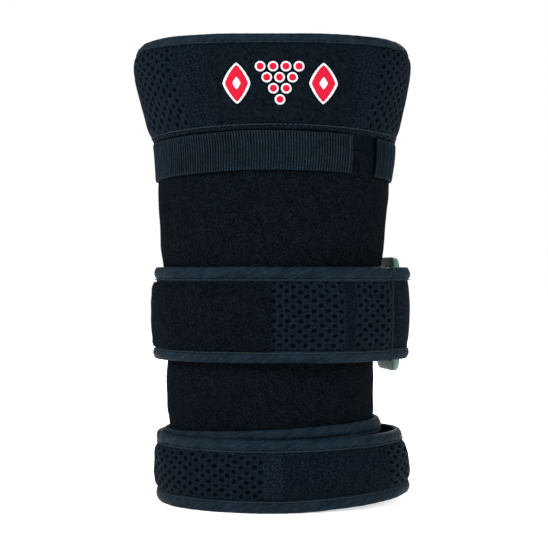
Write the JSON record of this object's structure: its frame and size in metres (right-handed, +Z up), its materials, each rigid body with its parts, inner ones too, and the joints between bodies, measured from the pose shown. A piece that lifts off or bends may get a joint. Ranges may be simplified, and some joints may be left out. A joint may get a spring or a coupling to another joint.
{
  "type": "bowling forearm and wrist support",
  "caption": "Black padded fabric wrist and forearm support with a flared mesh cuff, ribbed webbing, a strap through a plastic loop and a padded wrist band.",
  "frame": {"origin": "middle of the tube on the floor that the wrist band's lower rim rests on", "axes": "+Z up along the tube towards the wide cuff, +X to the right seen from the front, the front faces -Y"},
  "size_m": [0.1459, 0.0907, 0.24],
  "materials": {
    "loop_fabric": "brushed matt",
    "spacer_mesh": "open knitted mesh",
    "binding_tape": "twill with a soft sheen",
    "patch_cloth": "smooth woven",
    "webbing": "ribbed, soft sheen",
    "edge_tape": "pale edge",
    "ring_plastic": "moulded satin"
  },
  "bodies": {
    "root": {"sleeve": "loop_fabric", "cuff_panel": "spacer_mesh", "cuff_binding": "binding_tape", "cuff_patch": "patch_cloth", "webbing_band": "webbing", "strap_core": "spacer_mesh", "strap_upper_binding": "binding_tape", "strap_lower_binding": "binding_tape", "strap_loop_panel": "loop_fabric", "strap_end_edge": "edge_tape", "loop_ring": "ring_plastic", "ring_tab": "webbing", "band_inner_core": "spacer_mesh", "band_inner_binding": "binding_tape", "band_outer_core": "spacer_mesh", "band_upper_binding": "binding_tape", "band_lower_binding": "binding_tape"}
  },
  "joints": []
}
